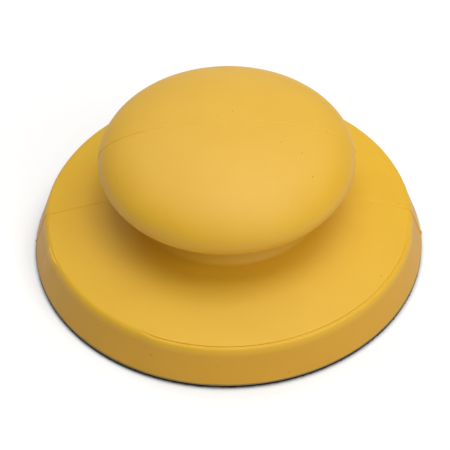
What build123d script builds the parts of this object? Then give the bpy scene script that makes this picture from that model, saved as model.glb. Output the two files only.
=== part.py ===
from build123d import *
import math
import os

# A round palm float: a mushroom-shaped grip and a tapered disc, foamed as one moulding with a
# dense skin over a cellular core. A hook-and-loop facing is bonded under the disc.
#
# Frame, in millimetres: +Z up along the axis of revolution, the origin at the centre of the
# surface the hooks stand on. The mould closed on the XZ plane.

# Disc
base_diameter = 150.0       # across the bottom edge, the size of the pads it carries
shoulder_inset = 4.7        # how far the shoulder lies inside the bottom edge
rim_height = 15.25          # moulding's bottom face up to the shoulder
deck_rise = 8.75            # shoulder up to the foot of the neck

# Witness line where the mould's ring met its top half
bead_width = 0.9            # raised bead, outside the shoulder radius
bead_drop = 1.0             # shoulder down to the bead's outer edge
bead_crown = 0.2            # how far the bead bulges from a straight bevel
groove_width = 0.7          # fine groove, inside the shoulder radius
groove_depth = 0.35

# Neck
neck_foot_diameter = 73.8   # where the deck meets the neck
neck_top_diameter = 63.0    # where the neck meets the knob's belly
neck_foot_fillet = 2.5
neck_top_fillet = 4.0

# Knob: two half ellipses that meet at its widest line
knob_diameter = 96.6
knob_lift = 19.6            # foot of the neck up to the knob's widest line
knob_crown = 17.8           # widest line up to the top
knob_belly = 16.5           # widest line down to the lowest point of the underside

# Layers
skin_thickness = 1.5        # dense skin of the moulding
film_thickness = 0.2        # adhesive between the moulding and the facing
cloth_thickness = 0.8       # woven ground of the facing
hook_height = 0.7           # hooks under the ground

FILLET_SHARE = 0.45         # longest fillet, as a share of the neck wall it runs along

base_radius = base_diameter / 2
cloth_z = hook_height
film_z = cloth_z + cloth_thickness
body_z = film_z + film_thickness
shoulder_radius = base_radius - shoulder_inset
shoulder_z = body_z + rim_height
neck_foot_z = shoulder_z + deck_rise
knob_z = neck_foot_z + knob_lift


def on_belly(radius, half_width, depth):
    """Angle and height of the point at this radius on the knob's lower half ellipse."""
    angle = math.degrees(math.acos(radius / half_width))
    return angle, knob_z - depth * math.sin(math.radians(angle))


def quarter_ellipse(half_width, height):
    """The knob's upper outline, widest line to top: a conic through one corner, so it is exact."""
    corner = (half_width, knob_z + height)
    return Bezier(
        (half_width, knob_z), corner, (0, knob_z + height), weights=[1, math.sqrt(0.5), 1]
    )


def shoulder_lines(deck_slope):
    """The bead and groove, from the top of the side wall to the start of the deck."""
    bead_edge = (shoulder_radius + bead_width, shoulder_z - bead_drop)
    shoulder = (shoulder_radius, shoulder_z)
    bevel = math.atan2(bead_drop, bead_width)
    bead_top = (
        shoulder_radius + bead_width / 2 + bead_crown * math.sin(bevel),
        shoulder_z - bead_drop / 2 + bead_crown * math.cos(bevel),
    )
    groove_end = (shoulder_radius - groove_width, shoulder_z + groove_width * deck_slope)
    groove_floor = (
        shoulder_radius - groove_width / 2,
        shoulder_z + groove_width / 2 * deck_slope - groove_depth,
    )
    return [
        ThreePointArc(bead_edge, bead_top, shoulder),
        ThreePointArc(shoulder, groove_floor, groove_end),
    ]


def moulding(inset):
    """Solid of revolution that lies this far inside the moulding's outer surface."""
    foot_radius = neck_foot_diameter / 2 - inset
    top_radius = neck_top_diameter / 2 - inset
    half_width = knob_diameter / 2 - inset
    belly = knob_belly - inset
    crown = knob_crown - inset
    foot_z = neck_foot_z - inset
    deck_slope = deck_rise / (shoulder_radius - neck_foot_diameter / 2)
    angle, top_z = on_belly(top_radius, half_width, belly)

    axis_bottom = (0, body_z)
    wall_foot = (base_radius - inset, body_z)
    neck_foot = (foot_radius, foot_z)
    neck_top = (top_radius, top_z)
    if inset:
        corner = (shoulder_radius - inset, foot_z - deck_slope * (shoulder_radius - inset - foot_radius))
        edge = [Line(wall_foot, corner)]
    else:
        edge = shoulder_lines(deck_slope)
        edge.insert(0, Line(wall_foot, edge[0] @ 0))
    outline = [
        Line(axis_bottom, wall_foot),
        *edge,
        Line(edge[-1] @ 1, neck_foot),
        Line(neck_foot, neck_top),
        EllipticalCenterArc((0, knob_z), half_width, belly, -angle, arc_size=angle),
        quarter_ellipse(half_width, crown),
        Line((0, knob_z + crown), axis_bottom),
    ]
    solid = revolve(Plane.XZ * make_face(Curve(outline)), Axis.Z)

    longest = FILLET_SHARE * math.dist(neck_foot, neck_top)
    for (radius, z), size in ((neck_foot, neck_foot_fillet), (neck_top, neck_top_fillet)):
        ring = solid.edges().filter_by(GeomType.CIRCLE).sort_by(
            lambda e: abs(e.center(CenterOf.GEOMETRY).Z - z) + abs(e.radius - radius)
        )[0]
        solid = fillet(ring, min(size + inset, longest))
    return solid


def layer(bottom, thickness):
    """A disc of the facing, as wide as the moulding's bottom edge."""
    return Pos(0, 0, bottom) * Cylinder(
        base_radius, thickness, align=(Align.CENTER, Align.CENTER, Align.MIN)
    )


foam_core = moulding(skin_thickness)
pieces = {
    "moulded_skin": moulding(0) - foam_core,
    "foam_core": foam_core,
    "adhesive_film": layer(film_z, film_thickness),
    "facing_backcloth": layer(cloth_z, cloth_thickness),
    "hook_pile": layer(0, hook_height),
}

os.makedirs("parts", exist_ok=True)
for name, piece in pieces.items():
    export_step(piece, f"parts/{name}.step")
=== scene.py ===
"""Looks of a round palm float: a skinned foam moulding with a hook facing bonded underneath.

Lengths are in millimetres until a mesh is made, and the frame is the CAD model's: +Z up along the
axis of revolution, the origin where the hook tips stand, the mould's parting plane on XZ.
"""

import logging
import math
from collections.abc import Sequence
from dataclasses import dataclass, field
from enum import Enum

import bpy
import numpy as np
from mathutils import Matrix, Vector, noise

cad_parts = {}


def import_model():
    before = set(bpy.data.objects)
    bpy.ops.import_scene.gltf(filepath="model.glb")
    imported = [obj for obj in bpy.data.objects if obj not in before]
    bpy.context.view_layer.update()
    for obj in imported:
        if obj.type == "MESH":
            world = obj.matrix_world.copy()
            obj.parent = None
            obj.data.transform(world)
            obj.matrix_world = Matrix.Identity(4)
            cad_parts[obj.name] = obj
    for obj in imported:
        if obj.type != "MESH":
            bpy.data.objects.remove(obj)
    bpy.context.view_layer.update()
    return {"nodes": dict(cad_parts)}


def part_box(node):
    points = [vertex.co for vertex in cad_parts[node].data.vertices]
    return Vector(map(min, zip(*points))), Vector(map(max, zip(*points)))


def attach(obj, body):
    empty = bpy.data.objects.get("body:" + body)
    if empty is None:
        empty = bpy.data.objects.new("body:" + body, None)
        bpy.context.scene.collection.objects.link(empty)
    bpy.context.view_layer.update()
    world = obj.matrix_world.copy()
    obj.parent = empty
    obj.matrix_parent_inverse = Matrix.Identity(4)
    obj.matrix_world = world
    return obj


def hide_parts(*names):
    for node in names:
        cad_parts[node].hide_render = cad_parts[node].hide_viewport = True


LOG = logging.getLogger("palm_float")
MM = 0.001
BODY = "root"

Point = tuple[float, float]


# ---------------------------------------------------------------------------------------------
# Small helpers
# ---------------------------------------------------------------------------------------------


def linear(colour: str, alpha: float = 1.0) -> tuple[float, float, float, float]:
    """Turns an sRGB hex colour to linear light.

    Args:
        colour: six hex digits, such as "e8b84f".
        alpha: opacity.

    Returns:
        Linear red, green, blue and the alpha.
    """
    parts = [int(colour[i : i + 2], 16) / 255 for i in (0, 2, 4)]
    red, green, blue = (c / 12.92 if c <= 0.04045 else ((c + 0.055) / 1.055) ** 2.4 for c in parts)
    return red, green, blue, alpha


def add_node(
    tree: bpy.types.NodeTree,
    kind: str,
    settings: dict[str | int, object] | None = None,
    links: dict[str | int, bpy.types.NodeSocket] | None = None,
) -> bpy.types.Node:
    """Adds a node with its settings and links.

    Args:
        tree: the node tree that gets it.
        kind: the node's type name.
        settings: values by attribute name, or by input name or index.
        links: source sockets by input name or index.

    Returns:
        The new node.
    """
    node = tree.nodes.new(kind)
    for name, value in (settings or {}).items():
        if isinstance(name, str) and hasattr(node, name):
            setattr(node, name, value)
        else:
            node.inputs[name].default_value = value
    for name, source in (links or {}).items():
        tree.links.new(source, node.inputs[name])
    return node


def new_surface(
    name: str,
) -> tuple[bpy.types.Material, bpy.types.NodeTree, bpy.types.Node, bpy.types.NodeSocket]:
    """Starts a material with a Principled shader.

    Args:
        name: the real material and how its surface was made.

    Returns:
        The material, its tree, the shader node, and the object coordinates' socket.
    """
    material = bpy.data.materials.new(name)
    material.use_nodes = True
    tree = material.node_tree
    tree.nodes.clear()
    shader = add_node(tree, "ShaderNodeBsdfPrincipled")
    add_node(tree, "ShaderNodeOutputMaterial", links={"Surface": shader.outputs["BSDF"]})
    place = add_node(tree, "ShaderNodeTexCoord").outputs["Object"]
    return material, tree, shader, place


def make_piece(
    name: str,
    points: Sequence[Sequence[float]],
    faces: Sequence[Sequence[int]],
    material: bpy.types.Material,
    crease: float = 40.0,
) -> bpy.types.Object:
    """Makes a smooth mesh object at the origin.

    Args:
        name: the piece's name.
        points: vertices in millimetres.
        faces: vertex indices of each face, anticlockwise seen from outside.
        material: its finish.
        crease: degrees between two faces from which their edge stays sharp.

    Returns:
        The object, linked to the scene.
    """
    mesh = bpy.data.meshes.new(name)
    mesh.from_pydata([tuple(MM * c for c in p) for p in points], [], faces)
    mesh.polygons.foreach_set("use_smooth", [True] * len(mesh.polygons))
    mesh.set_sharp_from_angle(angle=math.radians(crease))
    mesh.materials.append(material)
    mesh.update()
    piece = bpy.data.objects.new(name, mesh)
    bpy.context.scene.collection.objects.link(piece)
    return piece


def smooth_step(x: np.ndarray, low: float, high: float) -> np.ndarray:
    """Rises smoothly from 0 at low to 1 at high."""
    t = np.clip((x - low) / (high - low), 0.0, 1.0)
    return t * t * (3 - 2 * t)


def wobble(points: np.ndarray, wavelength: float, seed: float) -> np.ndarray:
    """Smooth noise at each point.

    Args:
        points: an array of (..., 3) in millimetres.
        wavelength: distance between bumps in millimetres.
        seed: shifts the noise, so that two uses differ.

    Returns:
        Values from about -1 to 1, in the shape of points without its last axis.
    """
    flat = points.reshape(-1, 3) / wavelength + seed
    return np.array([noise.noise(Vector(p)) for p in flat]).reshape(points.shape[:-1])


# ---------------------------------------------------------------------------------------------
# Finishes
# ---------------------------------------------------------------------------------------------


@dataclass(frozen=True)
class SkinnedFoam:
    """Self-skinned polyurethane foam, moulded: an even satin yellow, waxy at a low angle, with
    a faint cloudiness, a fine orange peel and a few pinholes where gas met the mould, painted
    darker in the pits as painted shade. Light and shade are also painted by height: the crown is
    the palest, as a painted highlight, the deck is purer yellow, and the knob's rim and the side
    wall are deeper, as painted shade; a table holds the heights and what the colour is
    multiplied by there."""

    yellow: str = "e6b73e"
    amber: str = "deab36"
    span_mm: float = 65.0
    # Painted light and shade by height: (height in mm, colour multiplier), paler on the crown as painted
    # highlight, deeper on the knob's rim and the side wall as painted shade.
    painted_light_by_height: tuple[tuple[float, str], ...] = (
        (13.5, "ecdf86"),
        (16.5, "ffffb4"),
        (32.0, "ffffb4"),
        (42.0, "f0e7a7"),
        (50.0, "faf6c0"),
        (58.0, "ffffff"),
    )
    cloud_mm: float = 26.0
    peel_mm: float = 0.7
    pinhole_mm: float = 7.0
    # Painted shade in the pinholes: the colour the pits are multiplied by.
    pinhole_shade_tint: str = "cfa556"
    pinhole_floor: float = 0.02
    pinhole_rim: float = 0.045
    pinhole_depth_mm: float = 0.2
    peel_depth_mm: float = 0.05
    peel_bump: float = 0.12
    pinhole_bump: float = 0.6
    roughness: float = 0.55
    shine: float = 0.45
    bloom: float = 0.04
    bloom_roughness: float = 0.4
    ior: float = 1.5

    def material(self) -> bpy.types.Material:
        """Builds the material."""
        material, tree, shader, place = new_surface("polyurethane_foam_self_skinned")
        cloud = add_node(
            tree,
            "ShaderNodeTexNoise",
            {"Scale": 1 / (self.cloud_mm * MM), "Detail": 3.0, "Roughness": 0.55},
            {"Vector": place},
        )
        tint = add_node(
            tree,
            "ShaderNodeMix",
            {"data_type": "RGBA", 6: linear(self.yellow), 7: linear(self.amber)},
            {0: cloud.outputs["Fac"]},
        )
        shader.inputs["Roughness"].default_value = self.roughness
        shader.inputs["IOR"].default_value = self.ior
        shader.inputs["Specular IOR Level"].default_value = self.shine
        shader.inputs["Sheen Weight"].default_value = self.bloom
        shader.inputs["Sheen Roughness"].default_value = self.bloom_roughness
        cells = add_node(
            tree,
            "ShaderNodeTexVoronoi",
            {"Scale": 1 / (self.pinhole_mm * MM), "Randomness": 1.0},
            {"Vector": place},
        )
        pit = add_node(
            tree,
            "ShaderNodeMapRange",
            {"From Min": self.pinhole_floor, "From Max": self.pinhole_rim, "To Min": 1.0, "To Max": 0.0},
            {"Value": cells.outputs["Distance"]},
        )
        # Painted shade: the colour is multiplied darker inside the pinholes' pits.
        pinhole_shade = add_node(
            tree,
            "ShaderNodeMix",
            {"data_type": "RGBA", "blend_type": "MULTIPLY", 7: linear(self.pinhole_shade_tint)},
            {0: pit.outputs["Result"], 6: tint.outputs[2]},
        )
        # Painted light and shade by height: the colour is multiplied along a ramp on the height, palest on
        # the crown as painted highlight, deeper on the knob's rim and the side wall as painted shade.
        height = add_node(tree, "ShaderNodeSeparateXYZ", links={0: place}).outputs["Z"]
        share = add_node(
            tree, "ShaderNodeMath", {"operation": "DIVIDE", 1: self.span_mm * MM}, {0: height}
        )
        ramp = add_node(tree, "ShaderNodeValToRGB", links={"Fac": share.outputs[0]})
        stops = ramp.color_ramp.elements
        while len(stops) < len(self.painted_light_by_height):
            stops.new(0.5)
        for stop, (z, shade) in zip(stops, self.painted_light_by_height):
            stop.position = z / self.span_mm
            stop.color = linear(shade)
        with_painted_light = add_node(
            tree,
            "ShaderNodeMix",
            {"data_type": "RGBA", "blend_type": "MULTIPLY", 0: 1.0},
            {6: pinhole_shade.outputs[2], 7: ramp.outputs["Color"]},
        )
        tree.links.new(with_painted_light.outputs[2], shader.inputs["Base Color"])
        peel = add_node(
            tree,
            "ShaderNodeTexNoise",
            {"Scale": 1 / (self.peel_mm * MM), "Detail": 4.0},
            {"Vector": place},
        )
        grain = add_node(
            tree,
            "ShaderNodeBump",
            {"Strength": self.peel_bump, "Distance": self.peel_depth_mm * MM},
            {"Height": peel.outputs["Fac"]},
        )
        dent = add_node(
            tree,
            "ShaderNodeBump",
            {"Strength": self.pinhole_bump, "Distance": self.pinhole_depth_mm * MM, "invert": True},
            {"Height": pit.outputs["Result"], "Normal": grain.outputs["Normal"]},
        )
        tree.links.new(dent.outputs["Normal"], shader.inputs["Normal"])
        return material


@dataclass(frozen=True)
class CellularFoam:
    """Polyurethane foam as it is inside, skived or cut: paler, matt, and open with fine cells."""

    pale: str = "ecc25e"
    shade: str = "c99a3a"
    cell_mm: float = 0.5
    cell_depth_mm: float = 0.2
    bump: float = 0.6
    roughness: float = 0.85

    def material(self) -> bpy.types.Material:
        """Builds the material."""
        material, tree, shader, place = new_surface("polyurethane_foam_cellular")
        cells = add_node(
            tree, "ShaderNodeTexVoronoi", {"Scale": 1 / (self.cell_mm * MM)}, {"Vector": place}
        )
        tint = add_node(
            tree,
            "ShaderNodeMix",
            {"data_type": "RGBA", 6: linear(self.shade), 7: linear(self.pale)},
            {0: cells.outputs["Distance"]},
        )
        bump = add_node(
            tree,
            "ShaderNodeBump",
            {"Strength": self.bump, "Distance": self.cell_depth_mm * MM},
            {"Height": cells.outputs["Distance"]},
        )
        tree.links.new(tint.outputs[2], shader.inputs["Base Color"])
        tree.links.new(bump.outputs["Normal"], shader.inputs["Normal"])
        shader.inputs["Roughness"].default_value = self.roughness
        return material


@dataclass(frozen=True)
class ContactAdhesive:
    """Contact adhesive, squeezed out and dried: a dull greyish amber line, a little glossy."""

    colour: str = "8f7c4a"
    shade: str = "6e5c34"
    lump_mm: float = 2.2
    roughness: float = 0.35

    def material(self) -> bpy.types.Material:
        """Builds the material."""
        material, tree, shader, place = new_surface("contact_adhesive_dried")
        lump = add_node(
            tree, "ShaderNodeTexNoise", {"Scale": 1 / (self.lump_mm * MM)}, {"Vector": place}
        )
        tint = add_node(
            tree,
            "ShaderNodeMix",
            {"data_type": "RGBA", 6: linear(self.shade), 7: linear(self.colour)},
            {0: lump.outputs["Fac"]},
        )
        tree.links.new(tint.outputs[2], shader.inputs["Base Color"])
        shader.inputs["Roughness"].default_value = self.roughness
        return material


@dataclass(frozen=True)
class WovenGround:
    """Nylon tape, woven plain and dyed near black, matt, with a faint thread sheen and painted shade
    between the threads.
    """

    thread: str = "2a1b0c"
    # Painted shade: the colour between the threads.
    gap: str = "120b05"
    thread_mm: float = 0.5
    thread_depth_mm: float = 0.15
    slack: float = 0.4
    bump: float = 0.8
    roughness: float = 0.85
    shine: float = 0.12

    def material(self) -> bpy.types.Material:
        """Builds the material."""
        material, tree, shader, place = new_surface("nylon_tape_plain_woven")
        waves = [
            add_node(
                tree,
                "ShaderNodeTexWave",
                {
                    "bands_direction": axis,
                    "Scale": math.pi / 10 / (self.thread_mm * MM),
                    "Distortion": self.slack,
                },
                {"Vector": place},
            )
            for axis in ("X", "Y")
        ]
        height = add_node(
            tree,
            "ShaderNodeMath",
            {"operation": "MAXIMUM"},
            {0: waves[0].outputs["Fac"], 1: waves[1].outputs["Fac"]},
        )
        # Painted shade: darker in the low gaps between the threads.
        tint = add_node(
            tree,
            "ShaderNodeMix",
            {"data_type": "RGBA", 6: linear(self.gap), 7: linear(self.thread)},
            {0: height.outputs[0]},
        )
        bump = add_node(
            tree,
            "ShaderNodeBump",
            {"Strength": self.bump, "Distance": self.thread_depth_mm * MM},
            {"Height": height.outputs[0]},
        )
        tree.links.new(tint.outputs[2], shader.inputs["Base Color"])
        tree.links.new(bump.outputs["Normal"], shader.inputs["Normal"])
        shader.inputs["Roughness"].default_value = self.roughness
        shader.inputs["Specular IOR Level"].default_value = self.shine
        return material


@dataclass(frozen=True)
class HookNylon:
    """Nylon monofilament, heat-set into hooks: dark brown, smooth, with small dull glints."""

    colour: str = "35230f"
    tip: str = "432c15"
    patch_mm: float = 6.0
    roughness: float = 0.5
    ior: float = 1.53
    shine: float = 0.15

    def material(self) -> bpy.types.Material:
        """Builds the material."""
        material, tree, shader, place = new_surface("nylon_monofilament_heat_set")
        patch = add_node(tree, "ShaderNodeTexNoise", {"Scale": 1 / (self.patch_mm * MM)}, {"Vector": place})
        tint = add_node(
            tree,
            "ShaderNodeMix",
            {"data_type": "RGBA", 6: linear(self.colour), 7: linear(self.tip)},
            {0: patch.outputs["Fac"]},
        )
        tree.links.new(tint.outputs[2], shader.inputs["Base Color"])
        shader.inputs["Roughness"].default_value = self.roughness
        shader.inputs["IOR"].default_value = self.ior
        shader.inputs["Specular IOR Level"].default_value = self.shine
        return material


# ---------------------------------------------------------------------------------------------
# The moulding
# ---------------------------------------------------------------------------------------------


class Shoulder(Enum):
    """How the deck meets the side wall."""

    CRISP = "a raised bead beside a fine groove"
    SOFT = "a plain rounded edge"


def straight(start: Point, end: Point, count: int) -> list[Point]:
    """Points from start up to, but without, end."""
    return [tuple(np.add(start, np.multiply(i / count, np.subtract(end, start)))) for i in range(count)]


def arc(start: Point, middle: Point, end: Point, count: int) -> list[Point]:
    """Points of the circle through three points, from the first up to, but without, the last."""
    (ax, ay), (bx, by), (cx, cy) = start, middle, end
    d = 2 * (ax * (by - cy) + bx * (cy - ay) + cx * (ay - by))
    squares = (ax * ax + ay * ay, bx * bx + by * by, cx * cx + cy * cy)
    ux = (squares[0] * (by - cy) + squares[1] * (cy - ay) + squares[2] * (ay - by)) / d
    uy = (squares[0] * (cx - bx) + squares[1] * (ax - cx) + squares[2] * (bx - ax)) / d
    radius = math.hypot(ax - ux, ay - uy)
    first, mid, last = (math.atan2(y - uy, x - ux) for x, y in (start, middle, end))
    turn = (last - first) % math.tau
    if (mid - first) % math.tau > turn:
        turn -= math.tau
    angles = (first + turn * i / count for i in range(count))
    return [(ux + radius * math.cos(t), uy + radius * math.sin(t)) for t in angles]


def round_off(start: Point, tip: Point, end: Point, count: int) -> list[Point]:
    """A curve that leaves start and meets end along lines through tip, without its last point."""
    a, b, c = (np.array(p) for p in (start, tip, end))
    steps = (i / count for i in range(count))
    return [tuple((1 - t) ** 2 * a + 2 * t * (1 - t) * b + t * t * c) for t in steps]


def crossing(p: Point, along_p: Point, q: Point, along_q: Point) -> Point:
    """Where the line through p crosses the line through q."""
    matrix = np.array([along_p, np.negative(along_q)]).T
    t = np.linalg.solve(matrix, np.subtract(q, p))[0]
    return tuple(np.add(p, np.multiply(t, along_p)))


@dataclass
class Moulding:
    """The foam moulding: a knob on a neck on a tapered disc, with the marks its mould left.

    The bead and nick give directions in degrees, 0 along +X, and the flash gives (height above
    the foot, reach) pairs. The rows are how many steps the outline takes along each stretch.
    """

    base_radius: float
    bottom: float
    top: float
    skin: float = 1.5
    shoulder_inset: float = 4.7
    rim_height: float = 15.25
    deck_rise: float = 8.75
    bead_width: float = 0.9
    bead_drop: float = 1.0
    bead_crown: float = 0.2
    groove_width: float = 0.7
    groove_depth: float = 0.35
    edge_inset: float = 0.2
    soft_edge: float = 1.7
    foot_chamfer: float = 0.4
    wall_run: float = 15.0
    neck_foot_radius: float = 36.9
    neck_top_radius: float = 31.5
    neck_foot_fillet: float = 2.5
    neck_top_fillet: float = 4.0
    knob_radius: float = 48.3
    knob_lift: float = 19.6
    knob_belly: float = 16.5
    bead_from: float = -116.0
    bead_to: float = -10.0
    nick: tuple[float, float, float, float] = (-167.0, -164.0, -160.0, -157.0)
    nick_share: float = 0.8
    seam_drift: float = 0.85
    drift_width: float = 8.0
    seam_step: float = 0.2
    seam_fade: float = 5.0
    seam_cut: float = 0.15
    seam_width: float = 0.3
    seam_edge: tuple[float, float] = (-0.05, 0.25)
    flash_right: tuple[Point, ...] = ((0.0, 0.2), (0.6, 0.35), (2.9, 1.25), (4.0, 0.0))
    flash_left: tuple[Point, ...] = ((0.3, 0.0), (1.5, 0.8), (2.2, 0.0))
    flash_width: float = 0.32
    wave_height: float = 0.10
    wave_length: float = 34.0
    ripple_height: float = 0.03
    ripple_length: float = 9.0
    columns: int = 360
    fine_step: float = 0.0013
    fine_growth: float = 1.28
    shoulder_rows: tuple[int, int, int, int] = (4, 9, 9, 4)
    wall_rows: int = 12
    deck_rows: int = 22
    crease_rows: int = 8
    fillet_rows: int = 12
    belly_rows: int = 26
    crown_rows: int = 44
    finish: SkinnedFoam = field(default_factory=SkinnedFoam)

    @property
    def shoulder_radius(self) -> float:
        """Radius where the deck ends."""
        return self.base_radius - self.shoulder_inset

    @property
    def shoulder_z(self) -> float:
        """Height where the deck ends."""
        return self.bottom + self.rim_height

    @property
    def neck_foot(self) -> Point:
        """Radius and height where the deck meets the neck."""
        return self.neck_foot_radius, self.shoulder_z + self.deck_rise

    @property
    def knob_z(self) -> float:
        """Height of the knob's widest line."""
        return self.neck_foot[1] + self.knob_lift

    @property
    def deck_slope(self) -> float:
        """Rise of the deck for each millimetre inwards."""
        return self.deck_rise / (self.shoulder_radius - self.neck_foot_radius)

    def shoulder(self, kind: Shoulder) -> list[Point]:
        """The outline from the wall, over the shoulder, to the start of the deck.

        Args:
            kind: which of the two edges.

        Returns:
            The same number of points for either kind, without the last.
        """
        wall_foot = (self.base_radius, self.bottom)
        bead_edge = (self.shoulder_radius + self.bead_width, self.shoulder_z - self.bead_drop)
        shoulder = (self.shoulder_radius, self.shoulder_z)
        inward = (-1.0, self.deck_slope)
        groove_end = tuple(np.add(shoulder, np.multiply(self.groove_width, inward)))
        if kind is Shoulder.SOFT:
            tip = tuple(np.add(shoulder, np.multiply(self.edge_inset, inward)))
        else:
            tip = crossing(bead_edge, tuple(np.subtract(bead_edge, wall_foot)), shoulder, inward)
        up = np.subtract(tip, wall_foot)
        wall_end = tuple(np.subtract(tip, self.soft_edge * up / np.linalg.norm(up)))
        deck_start = tuple(np.add(tip, np.multiply(self.soft_edge, inward)))
        if kind is Shoulder.SOFT:
            return round_off(wall_end, tip, deck_start, sum(self.shoulder_rows))
        bevel = math.atan2(self.bead_drop, self.bead_width)
        bead_top = (
            (bead_edge[0] + shoulder[0]) / 2 + self.bead_crown * math.sin(bevel),
            (bead_edge[1] + shoulder[1]) / 2 + self.bead_crown * math.cos(bevel),
        )
        floor = np.add(shoulder, np.multiply(self.groove_width / 2, inward))
        groove_floor = (floor[0], floor[1] - self.groove_depth)
        before, bead, groove, after = self.shoulder_rows
        return [
            *straight(wall_end, bead_edge, before),
            *arc(bead_edge, bead_top, shoulder, bead),
            *arc(shoulder, groove_floor, groove_end, groove),
            *straight(groove_end, deck_start, after),
        ]

    def outline(self, kind: Shoulder) -> np.ndarray:
        """The moulding's outer outline, from its foot to the knob's top.

        Args:
            kind: which shoulder it has.

        Returns:
            An array of (radius, height), the last on the axis.
        """
        shoulder = self.shoulder(kind)
        foot, neck_foot = (self.base_radius, self.bottom), self.neck_foot
        chamfer = (foot[0] - self.foot_chamfer, foot[1])
        wall_start = tuple(np.add(foot, self.foot_chamfer * np.subtract(shoulder[0], foot) / self.wall_run))
        half_width, belly, crown = self.knob_radius, self.knob_belly, self.top - self.knob_z

        meets = math.acos(self.neck_top_radius / half_width)
        neck_top = (self.neck_top_radius, self.knob_z - belly * math.sin(meets))
        neck = np.subtract(neck_top, neck_foot)
        neck /= np.linalg.norm(neck)
        inward = np.array((-1.0, self.deck_slope))
        inward /= np.linalg.norm(inward)
        turn = math.acos(float(neck @ inward))
        cut = self.neck_foot_fillet * math.tan(turn / 2)
        crease = (tuple(neck_foot - cut * inward), tuple(neck_foot + cut * neck))

        out = np.array((half_width * math.sin(meets), belly * math.cos(meets)))
        turn = math.acos(float(neck @ out) / float(np.linalg.norm(out)))
        cut = self.neck_top_fillet * math.tan(turn / 2)
        leave = tuple(neck_top - cut * neck)
        start = meets - cut / float(np.linalg.norm(out))
        land = (half_width * math.cos(start), self.knob_z - belly * math.sin(start))
        along = (half_width * math.sin(start), belly * math.cos(start))
        under = [start * (1 - i / self.belly_rows) for i in range(self.belly_rows)]
        over = [math.pi / 2 * i / self.crown_rows for i in range(self.crown_rows + 1)]
        deck_start = tuple(2 * np.array(shoulder[-1]) - np.array(shoulder[-2]))
        rows = [
            *straight(chamfer, wall_start, 2),
            *straight(wall_start, shoulder[0], self.wall_rows),
            *shoulder,
            *straight(deck_start, crease[0], self.deck_rows),
            *round_off(crease[0], neck_foot, crease[1], self.crease_rows),
            *straight(crease[1], leave, 3),
            *round_off(leave, crossing(leave, tuple(neck), land, along), land, self.fillet_rows),
            *((half_width * math.cos(t), self.knob_z - belly * math.sin(t)) for t in under),
            *((half_width * math.cos(t), self.knob_z + crown * math.sin(t)) for t in over),
        ]
        return np.array(rows)

    def angles(self) -> np.ndarray:
        """Directions of the mesh's columns, closer together beside the mould's parting plane."""
        step = math.tau / self.columns
        near = [0.0]
        gap = self.fine_step
        while near[-1] < 4 * step:
            near.append(near[-1] + gap)
            gap *= self.fine_growth
        fine = np.array(near[:-1])
        coarse = np.arange(near[-1], math.pi - near[-1] + 1e-6, step)
        half = np.concatenate([fine, coarse, math.pi - fine[::-1]])
        return np.concatenate([half, math.pi + half[1:-1]])

    def bead_share(self, angles: np.ndarray) -> np.ndarray:
        """How crisp the shoulder is in each direction: the mould's ring wore away at the left."""
        degrees = (np.degrees(angles) + 180) % 360 - 180
        main = smooth_step(degrees, self.bead_from - 3, self.bead_from + 3)
        main *= 1 - smooth_step(degrees, self.bead_to - 8, self.bead_to + 4)
        starts, full, fades, ends = self.nick
        nick = smooth_step(degrees, starts, full) * (1 - smooth_step(degrees, fades, ends))
        return np.maximum(main, self.nick_share * nick)

    def seam_strength(self, x: np.ndarray, z: np.ndarray) -> np.ndarray:
        """How plainly the parting line shows, as it was trimmed and rubbed by hand.

        Args:
            x: distance across, in millimetres.
            z: height, in millimetres.

        Returns:
            A share of the full step.
        """
        crown_x = (-48, -44, -32, -29, -26, -22, -14, 0, 10, 16, 20, 24, 28, 32, 35, 40, 43, 46)
        crown_share = (
            *(0.8, 1.0, 1.0, 0.2, 0.8, 0.2, 0.5, 0.3, 0.2),
            *(0.5, 0.2, 0.5, 0.2, 0.7, 0.2, 0.9, 0.4, 0.7),
        )
        lower_x = (-75, -69, -50, -42, 42, 52, 58, 63, 69, 75)
        lower_share = (0.8, 1.0, 0.9, 0.5, 0.15, 0.2, 0.6, 1.0, 1.4, 1.8)
        on_crown = np.interp(x, crown_x, crown_share)
        below = np.interp(x, lower_x, lower_share)
        return np.where(z > self.knob_z, on_crown, below)

    def drifted(self, points: np.ndarray) -> np.ndarray:
        """Slides the columns beside the parting plane to where the trimmed line really runs.

        Args:
            points: the undisturbed outer surface, in millimetres.

        Returns:
            The same surface with its points slid along it.
        """
        x, y, z = (a.copy() for a in np.moveaxis(points, -1, 0))
        near = np.exp(-((y / self.drift_width) ** 2))
        crown = z > self.knob_z
        radius = np.hypot(x, y)
        over = self.seam_drift * (1 - np.clip(radius / self.knob_radius, 0, 1) ** 4)
        deck_x = (-75, -69, -48, -37, 37, 57, 63, 69, 75)
        deck = np.interp(x, deck_x, (0, 0, 0.4, 0, 0, 0.2, -0.1, -1.2, -0.8))
        y = y + near * np.where(crown, over, 0)
        share = np.clip(np.hypot(x, y) / self.knob_radius, 0, 1)
        z = np.where(crown, self.knob_z + (self.top - self.knob_z) * np.sqrt(1 - share**2), z)
        turn = near * np.where(crown, 0, deck) / np.maximum(radius, 1.0) * np.sign(x)
        cos, sin = np.cos(turn), np.sin(turn)
        return np.stack([x * cos - y * sin, x * sin + y * cos, z], axis=-1)

    def flash(self, points: np.ndarray) -> np.ndarray:
        """Height of the untrimmed flash fins at the two ends of the parting line's foot."""
        x, y, z = np.moveaxis(points, -1, 0)
        up = z - self.bottom
        right = np.interp(up, *zip(*self.flash_right)) * (x > 0)
        left = np.interp(up, *zip(*self.flash_left)) * (x < 0)
        near_rim = np.hypot(x, y) > self.shoulder_radius
        return (right + left) * np.exp(-((y / self.flash_width) ** 2)) * near_rim

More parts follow.
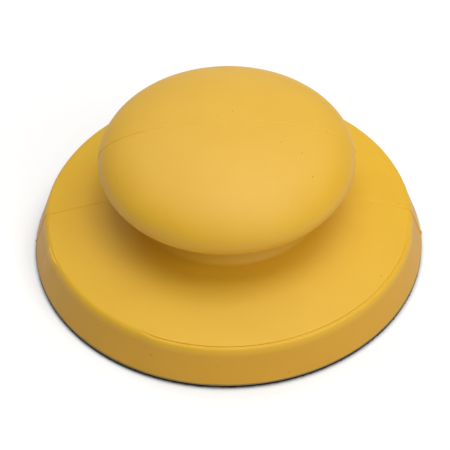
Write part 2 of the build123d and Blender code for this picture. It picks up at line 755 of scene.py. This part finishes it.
    def outer_points(self) -> np.ndarray:
        """The outer surface, with the seam, flash and waviness of a hand-trimmed moulding.

        Returns:
            An array of (rows, columns, 3) in millimetres.
        """
        angles = self.angles()
        crisp, soft = self.outline(Shoulder.CRISP), self.outline(Shoulder.SOFT)
        share = self.bead_share(angles)[None, :, None]
        flat = soft[:, None, :] * (1 - share) + crisp[:, None, :] * share
        along = np.gradient(flat, axis=0)
        along /= np.linalg.norm(along, axis=-1, keepdims=True)
        cos, sin = np.cos(angles)[None, :], np.sin(angles)[None, :]
        points = np.stack([flat[..., 0] * cos, flat[..., 0] * sin, flat[..., 1]], axis=-1)
        normal = np.stack([along[..., 1] * cos, along[..., 1] * sin, -along[..., 0]], axis=-1)

        x, behind, z = np.moveaxis(points, -1, 0)
        strength = self.seam_strength(x, z)
        fade = np.exp(-np.maximum(behind, 0) / self.seam_fade)
        step = self.seam_step * smooth_step(behind, *self.seam_edge) * fade
        cut = self.seam_cut * np.exp(-(((behind - self.seam_edge[0]) / self.seam_width) ** 2))
        relief = strength * (step - cut)
        relief += self.wave_height * wobble(points, self.wave_length, 3.7)
        relief += self.ripple_height * wobble(points, self.ripple_length, 11.2)
        relief *= smooth_step(z, self.bottom, self.bottom + 1.0)
        outward = np.stack([cos + 0 * z, sin + 0 * z, 0 * z], axis=-1)
        return self.drifted(points) + relief[..., None] * normal + self.flash(points)[..., None] * outward

    def inner_points(self) -> np.ndarray:
        """The skin's inner surface, where the cells begin, as the CAD core has it."""
        angles = self.angles()
        rows = self.outline(Shoulder.SOFT)
        along = np.gradient(rows, axis=0)
        along /= np.linalg.norm(along, axis=-1, keepdims=True)
        inset = rows - self.skin * np.stack([along[:, 1], -along[:, 0]], axis=-1)
        inset[:, 0] = np.maximum(inset[:, 0], 0)
        inset = inset[2::5]
        inset[0] = (self.base_radius - self.skin, self.bottom)
        inset[-1] = (0.0, self.top - self.skin)
        cos, sin = np.cos(angles)[None, :], np.sin(angles)[None, :]
        radius, height = inset[:, :1], inset[:, 1:]
        return np.stack([radius * cos, radius * sin, height + 0 * cos], axis=-1)

    def build(self) -> bpy.types.Object:
        """Builds the skin as one closed shell, open underneath where the core meets the adhesive.

        Returns:
            The piece.
        """
        outer, inner = self.outer_points(), self.inner_points()
        columns = outer.shape[1]
        points: list[Sequence[float]] = []
        faces: list[Sequence[int]] = []
        for surface, outwards in ((outer, True), (inner, False)):
            first = len(points)
            points += surface[:-1].reshape(-1, 3).tolist()
            points.append([0.0, 0.0, float(surface[-1, :, 2].mean())])
            pole, rows = len(points) - 1, surface.shape[0] - 1
            for row in range(rows):
                for column in range(columns):
                    beside = (column + 1) % columns
                    face = [first + row * columns + column, first + row * columns + beside]
                    if row == rows - 1:
                        face.append(pole)
                    else:
                        face += [first + (row + 1) * columns + beside, first + (row + 1) * columns + column]
                    faces.append(face if outwards else face[::-1])
        inner_first = (outer.shape[0] - 1) * columns + 1
        for column in range(columns):
            beside = (column + 1) % columns
            faces.append([column, inner_first + column, inner_first + beside, beside])
        piece = make_piece("moulded_foam_skin", points, faces, self.finish.material())
        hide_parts("moulded_skin")
        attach(piece, BODY)
        return piece


# ---------------------------------------------------------------------------------------------
# The facing
# ---------------------------------------------------------------------------------------------


@dataclass
class Layer:
    """A thin disc of the facing, with an edge that is slightly uneven, as cut or squeezed out.

    The edge is a list of points from the bottom up, each an inset from the radius and a height.
    """

    name: str
    radius: float
    edge: list[Point]
    unevenness: float
    wavelength: float
    rings: tuple[float, ...] = (0.25, 0.5, 0.75, 0.96)
    columns: int = 360

    def build(self, material: bpy.types.Material) -> bpy.types.Object:
        """Builds the disc.

        Args:
            material: its finish.

        Returns:
            The piece.
        """
        angles = np.arange(self.columns) * math.tau / self.columns
        circle = np.stack([np.cos(angles), np.sin(angles), 0 * angles], axis=-1)
        ragged = self.unevenness * wobble(circle * self.radius, self.wavelength, self.edge[0][1])
        inner = self.rings
        low, high = self.edge[0][1], self.edge[-1][1]
        points: list[Sequence[float]] = [(0.0, 0.0, low)]
        for share in inner:
            points += [(self.radius * share * c[0], self.radius * share * c[1], low) for c in circle]
        for inset, z in self.edge:
            points += [(r * c[0], r * c[1], z) for r, c in zip(self.radius - inset + ragged, circle)]
        for share in inner[::-1]:
            points += [(self.radius * share * c[0], self.radius * share * c[1], high) for c in circle]
        points.append((0.0, 0.0, high))
        rows = 2 * len(inner) + len(self.edge)
        faces: list[Sequence[int]] = []
        for column in range(self.columns):
            beside = (column + 1) % self.columns
            faces.append([0, 1 + beside, 1 + column])
            for row in range(rows - 1):
                under, over = 1 + row * self.columns, 1 + (row + 1) * self.columns
                faces.append([under + column, under + beside, over + beside, over + column])
            last = 1 + (rows - 1) * self.columns
            faces.append([last + column, last + beside, len(points) - 1])
        return make_piece(self.name, points, faces, material)


@dataclass
class HookField:
    """The hooks under the facing: rows of small bent filaments, each row facing the other way.

    The rise, bulge and tip are a hook's handles and end, as shares of its height.
    """

    radius: float
    ground: float
    height: float
    row_pitch: float = 1.0
    hook_pitch: float = 0.95
    wire_radius: float = 0.1
    jitter: float = 0.1
    twist: float = 0.35
    rise: tuple[float, float, float] = (-0.05, 0.0, -0.95)
    bulge: tuple[float, float, float] = (0.75, 0.0, -1.15)
    tip: tuple[float, float, float] = (0.5, 0.0, -0.45)
    sides: int = 3
    bends: int = 5
    seed: int = 7

    def tree(self, material: bpy.types.Material) -> tuple[bpy.types.NodeTree, dict[str, str]]:
        """Builds the node tree that sets one quarter of the hooks.

        Args:
            material: the hooks' finish.

        Returns:
            The tree, and its inputs' identifiers by name.
        """
        tree = bpy.data.node_groups.new("hook_field", "GeometryNodeTree")
        names: dict[str, str] = {}
        inputs = {
            "Radius": self.radius,
            "Ground": self.ground,
            "Height": self.height,
            "Row Pitch": self.row_pitch,
            "Hook Pitch": self.hook_pitch,
            "Wire Radius": self.wire_radius,
            "Jitter": self.jitter,
        }
        for name, value in inputs.items():
            socket = tree.interface.new_socket(name, in_out="INPUT", socket_type="NodeSocketFloat")
            socket.default_value = value * MM
            names[name] = socket.identifier
        for name in ("Side X", "Side Y"):
            socket = tree.interface.new_socket(name, in_out="INPUT", socket_type="NodeSocketFloat")
            socket.default_value = 1.0
            names[name] = socket.identifier
        socket = tree.interface.new_socket("Seed", in_out="INPUT", socket_type="NodeSocketInt")
        socket.default_value = self.seed
        names["Seed"] = socket.identifier
        tree.interface.new_socket("Geometry", in_out="OUTPUT", socket_type="NodeSocketGeometry")
        given = add_node(tree, "NodeGroupInput").outputs

        def calc(operation: str, *terms: bpy.types.NodeSocket | float) -> bpy.types.NodeSocket:
            """One Math node on sockets or plain numbers."""
            numbers = {i: t for i, t in enumerate(terms) if isinstance(t, (int, float))}
            sockets = {i: t for i, t in enumerate(terms) if not isinstance(t, (int, float))}
            return add_node(tree, "ShaderNodeMath", {"operation": operation, **numbers}, sockets).outputs[0]

        width = calc("MULTIPLY", given["Radius"], 2.0)
        along = calc("ADD", calc("FLOOR", calc("DIVIDE", width, given["Hook Pitch"])), 1.0)
        across = calc("ADD", calc("FLOOR", calc("DIVIDE", width, given["Row Pitch"])), 1.0)
        grid = add_node(
            tree,
            "GeometryNodeMeshGrid",
            links={"Size X": width, "Size Y": width, "Vertices X": along, "Vertices Y": across},
        )
        place = add_node(tree, "GeometryNodeInputPosition").outputs[0]
        split = add_node(tree, "ShaderNodeSeparateXYZ", links={0: place}).outputs
        row = calc("ROUND", calc("DIVIDE", calc("ADD", split["Y"], given["Radius"]), given["Row Pitch"]))
        odd = calc("MODULO", row, 2.0)
        low, high = (
            add_node(
                tree,
                "ShaderNodeVectorMath",
                {"operation": "SCALE", 0: (side, side, 0)},
                {"Scale": given["Jitter"]},
            )
            for side in (-1, 1)
        )
        scatter = add_node(
            tree,
            "FunctionNodeRandomValue",
            {"data_type": "FLOAT_VECTOR"},
            {0: low.outputs[0], 1: high.outputs[0], "Seed": given["Seed"]},
        )
        lean = calc("MULTIPLY", calc("MULTIPLY", odd, given["Hook Pitch"]), 0.5)
        shift = add_node(tree, "ShaderNodeCombineXYZ", links={"X": lean, "Z": given["Ground"]})
        offset = add_node(
            tree,
            "ShaderNodeVectorMath",
            {"operation": "ADD"},
            {0: shift.outputs[0], 1: scatter.outputs[0]},
        )
        moved = add_node(
            tree,
            "GeometryNodeSetPosition",
            links={"Geometry": grid.outputs["Mesh"], "Offset": offset.outputs[0]},
        )
        level = add_node(tree, "ShaderNodeVectorMath", {"operation": "MULTIPLY", 1: (1, 1, 0)}, {0: place})
        reach = add_node(tree, "ShaderNodeVectorMath", {"operation": "LENGTH"}, {0: level.outputs[0]})
        beyond = calc("GREATER_THAN", reach.outputs["Value"], given["Radius"])
        wrong_x = calc("LESS_THAN", calc("MULTIPLY", split["X"], given["Side X"]), 0.0)
        wrong_y = calc("LESS_THAN", calc("MULTIPLY", split["Y"], given["Side Y"]), 0.0)
        kept = add_node(
            tree,
            "GeometryNodeDeleteGeometry",
            {"domain": "POINT"},
            {
                "Geometry": moved.outputs[0],
                "Selection": calc("MAXIMUM", beyond, calc("MAXIMUM", wrong_x, wrong_y)),
            },
        )

        def bend(shape: tuple[float, float, float]) -> bpy.types.NodeSocket:
            """A point of the hook, as shares of its height."""
            return add_node(
                tree, "ShaderNodeVectorMath", {"operation": "SCALE", 0: shape}, {"Scale": given["Height"]}
            ).outputs[0]

        path = add_node(
            tree,
            "GeometryNodeCurvePrimitiveBezierSegment",
            {"Resolution": self.bends, "Start": (0, 0, 0)},
            {
                "Start Handle": bend(self.rise),
                "End Handle": bend(self.bulge),
                "End": bend(self.tip),
            },
        )
        ring = add_node(
            tree,
            "GeometryNodeCurvePrimitiveCircle",
            {"mode": "RADIUS", "Resolution": self.sides},
            {"Radius": given["Wire Radius"]},
        )
        hook = add_node(
            tree,
            "GeometryNodeCurveToMesh",
            {"Fill Caps": True},
            {"Curve": path.outputs[0], "Profile Curve": ring.outputs[0]},
        )
        turn = add_node(
            tree,
            "FunctionNodeRandomValue",
            {"data_type": "FLOAT", 2: -self.twist, 3: self.twist},
            {"Seed": given["Seed"]},
        )
        facing = calc("ADD", calc("MULTIPLY", odd, math.pi), turn.outputs[1])
        angles = add_node(tree, "ShaderNodeCombineXYZ", links={"Z": facing})
        rotation = add_node(tree, "FunctionNodeEulerToRotation", links={0: angles.outputs[0]})
        hooks = add_node(
            tree,
            "GeometryNodeInstanceOnPoints",
            links={
                "Points": kept.outputs[0],
                "Instance": hook.outputs[0],
                "Rotation": rotation.outputs[0],
            },
        )
        real = add_node(tree, "GeometryNodeRealizeInstances", links={0: hooks.outputs[0]})
        dressed = add_node(
            tree, "GeometryNodeSetMaterial", {"Material": material}, {"Geometry": real.outputs[0]}
        )
        add_node(tree, "NodeGroupOutput", links={0: dressed.outputs[0]})
        return tree, names

    def build(self, material: bpy.types.Material) -> list[bpy.types.Object]:
        """Builds the hooks, one piece for each quarter of the disc.

        Args:
            material: their finish.

        Returns:
            The four pieces.
        """
        tree, names = self.tree(material)
        quarters = {
            "front_right": (1, -1),
            "front_left": (-1, -1),
            "back_left": (-1, 1),
            "back_right": (1, 1),
        }
        pieces = []
        for label, (side_x, side_y) in quarters.items():
            piece = bpy.data.objects.new(f"hooks_{label}", bpy.data.meshes.new(f"hooks_{label}"))
            bpy.context.scene.collection.objects.link(piece)
            setter = piece.modifiers.new("hooks", "NODES")
            setter.node_group = tree
            setter[names["Side X"]] = float(side_x)
            setter[names["Side Y"]] = float(side_y)
            evaluated = piece.evaluated_get(bpy.context.evaluated_depsgraph_get())
            mesh = bpy.data.meshes.new_from_object(evaluated)
            piece.modifiers.clear()
            piece.data = mesh
            pieces.append(piece)
        return pieces


@dataclass
class Facing:
    """The hook facing under the moulding: adhesive, woven ground and hooks."""

    film: tuple[Vector, Vector]
    cloth: tuple[Vector, Vector]
    hooks: tuple[Vector, Vector]
    glue_rise: float = 0.75
    hook_margin: float = 0.3

    def build(self) -> list[bpy.types.Object]:
        """Builds the facing's pieces.

        Returns:
            The pieces, from the top down.
        """
        radius = self.cloth[1].x / MM
        foot, seat = self.film[0].z / MM, self.film[1].z / MM
        rise = self.glue_rise
        bead = [
            (0.12, foot),
            (-0.02, foot + 0.1),
            (-0.05, foot + 0.35 * rise),
            (0.0, foot + 0.7 * rise),
            (0.17, foot + 0.95 * rise),
            (0.35, foot + rise),
            (0.7, foot + 0.8 * rise),
            (0.9, seat),
        ]
        glue = Layer("adhesive_film_edge", radius, bead, 0.05, 6.0).build(ContactAdhesive().material())
        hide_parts("adhesive_film")
        under, over = self.cloth[0].z / MM, self.cloth[1].z / MM
        cut = [
            (0.15, under),
            (0.02, under + 0.08),
            (0.0, (under + over) / 2),
            (0.02, over - 0.08),
            (0.12, over),
        ]
        ground = Layer("woven_ground", radius, cut, 0.1, 1.5).build(WovenGround().material())
        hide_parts("facing_backcloth")
        field_of_hooks = HookField(radius - self.hook_margin, self.cloth[0].z / MM, self.hooks[1].z / MM)
        hooks = field_of_hooks.build(HookNylon().material())
        for piece in hooks:
            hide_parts("hook_pile")
        pieces = [glue, ground, *hooks]
        for piece in pieces:
            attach(piece, BODY)
        return pieces


# ---------------------------------------------------------------------------------------------
# The studio
# ---------------------------------------------------------------------------------------------


@dataclass(frozen=True)
class SoftBox:
    """A square studio light that faces a point on the float."""

    name: str
    azimuth: float
    elevation: float
    power: float
    distance: float = 1.5
    size: float = 0.8
    colour: str = "ffffff"

    def build(self, aim: Vector) -> bpy.types.Object:
        """Builds the light.

        Args:
            aim: the point it faces, in metres.

        Returns:
            The light object.
        """
        data = bpy.data.lights.new(self.name, "AREA")
        data.shape = "SQUARE"
        data.size = self.size
        data.energy = self.power
        data.color = linear(self.colour)[:3]
        light = bpy.data.objects.new(self.name, data)
        across, up = math.radians(self.azimuth), math.radians(self.elevation)
        back = Vector((math.cos(across) * math.cos(up), math.sin(across) * math.cos(up), math.sin(up)))
        light.location = aim + back * self.distance
        light.rotation_euler = (-back).to_track_quat("-Z", "Y").to_euler()
        bpy.context.scene.collection.objects.link(light)
        return light


@dataclass
class Studio:
    """A pale lit table, soft light, and the camera.

    The table is an opal sheet; its glow is painted light that lifts the float's shadow off it, and it does
    not glow under the float.
    """

    camera_place: tuple[float, float, float] = (-0.40, -572.30, 583.80)
    camera_aim: tuple[float, float, float] = (-1.25, 0.0, 9.48)
    camera_roll: float = -1.266
    focal_length: float = 167.48
    floor_half: float = 3000.0
    floor_colour: str = "e6e6e6"
    # Painted light: how much the floor glows beyond the float's footprint.
    floor_glow: float = 0.22
    glow_from: float = 75.0
    glow_fade: float = 1.5
    tooth_mm: float = 2.5
    tooth_depth_mm: float = 0.2
    tooth_bump: float = 0.05
    floor_roughness: float = 0.9
    floor_shine: float = 0.1
    sky: float = 0.0
    lights_aim: tuple[float, float, float] = (0.0, 0.0, 25.0)
    lights: tuple[SoftBox, ...] = (
        SoftBox("overhead", -90, 88, 7.4),
        SoftBox("front", -90, 45, 2.6),
        SoftBox("front_right", -45, 45, 5.0),
        SoftBox("front_low", -60, 15, 2.9),
        SoftBox("right", 0, 68, 5.7),
        SoftBox("back_right", 45, 45, 2.3),
        SoftBox("back", 90, 68, 3.0),
        SoftBox("back_low", 90, 15, 1.4),
        SoftBox("back_left", 135, 45, 3.6),
    )

    def floor(self) -> bpy.types.Object:
        """Builds the floor, just under the hooks."""
        half = self.floor_half
        corners = [(-half, -half, 0), (half, -half, 0), (half, half, 0), (-half, half, 0)]
        material, tree, shader, place = new_surface("opal_acrylic_lit_from_below")
        tooth = add_node(tree, "ShaderNodeTexNoise", {"Scale": 1 / (self.tooth_mm * MM)}, {"Vector": place})
        bump = add_node(
            tree,
            "ShaderNodeBump",
            {"Strength": self.tooth_bump, "Distance": self.tooth_depth_mm * MM},
            {"Height": tooth.outputs["Fac"]},
        )
        tree.links.new(bump.outputs["Normal"], shader.inputs["Normal"])
        shader.inputs["Base Color"].default_value = linear(self.floor_colour)
        shader.inputs["Emission Color"].default_value = linear("ffffff")
        level = add_node(tree, "ShaderNodeVectorMath", {"operation": "MULTIPLY", 1: (1, 1, 0)}, {0: place})
        reach = add_node(tree, "ShaderNodeVectorMath", {"operation": "LENGTH"}, {0: level.outputs[0]})
        # Painted light: the floor glows beyond the float's footprint, lifting its shadow there, and stays
        # unlit under the float.
        glow = add_node(
            tree,
            "ShaderNodeMapRange",
            {
                "From Min": self.glow_from * MM,
                "From Max": (self.glow_from + self.glow_fade) * MM,
                "To Max": self.floor_glow,
            },
            {"Value": reach.outputs["Value"]},
        )
        tree.links.new(glow.outputs["Result"], shader.inputs["Emission Strength"])
        shader.inputs["Roughness"].default_value = self.floor_roughness
        shader.inputs["Specular IOR Level"].default_value = self.floor_shine
        floor = make_piece("studio_floor", corners, [(0, 1, 2, 3)], material)
        return floor

    def camera(self) -> bpy.types.Object:
        """Builds the camera and makes it the scene's."""
        data = bpy.data.cameras.new("camera")
        data.lens = self.focal_length
        data.sensor_width = 36.0
        data.clip_start, data.clip_end = 0.05, 20.0
        camera = bpy.data.objects.new("camera", data)
        place, aim = Vector(self.camera_place) * MM, Vector(self.camera_aim) * MM
        turn = (aim - place).to_track_quat("-Z", "Y").to_matrix().to_4x4()
        roll = Matrix.Rotation(math.radians(self.camera_roll), 4, "Z")
        camera.matrix_world = Matrix.Translation(place) @ turn @ roll
        bpy.context.scene.collection.objects.link(camera)
        bpy.context.scene.camera = camera
        return camera

    def build(self) -> None:
        """Builds the floor, the lights, the sky and the camera."""
        self.floor()
        self.camera()
        for light in self.lights:
            light.build(Vector(self.lights_aim) * MM)
        world = bpy.data.worlds.new("studio_sky")
        world.use_nodes = True
        background = world.node_tree.nodes["Background"]
        background.inputs["Color"].default_value = linear("ffffff")
        background.inputs["Strength"].default_value = self.sky
        scene = bpy.context.scene
        scene.world = world
        scene.view_settings.view_transform = "Standard"
        scene.view_settings.look = "None"


def main() -> None:
    """Builds the float and its studio on the CAD frame."""
    logging.basicConfig(level=logging.INFO, format="%(name)s: %(message)s")
    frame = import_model()
    skin_low, skin_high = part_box("moulded_skin")

    moulding = Moulding(skin_high.x / MM, skin_low.z / MM, skin_high.z / MM)
    made = [moulding.build()]
    core = frame["nodes"]["foam_core"]
    core.data.materials.clear()
    core.data.materials.append(CellularFoam().material())
    made += Facing(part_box("adhesive_film"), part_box("facing_backcloth"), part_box("hook_pile")).build()
    for piece in made:
        LOG.info("%s: %d faces", piece.name, len(piece.data.polygons))
    Studio().build()

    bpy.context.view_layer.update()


if __name__ == "__main__":
    main()
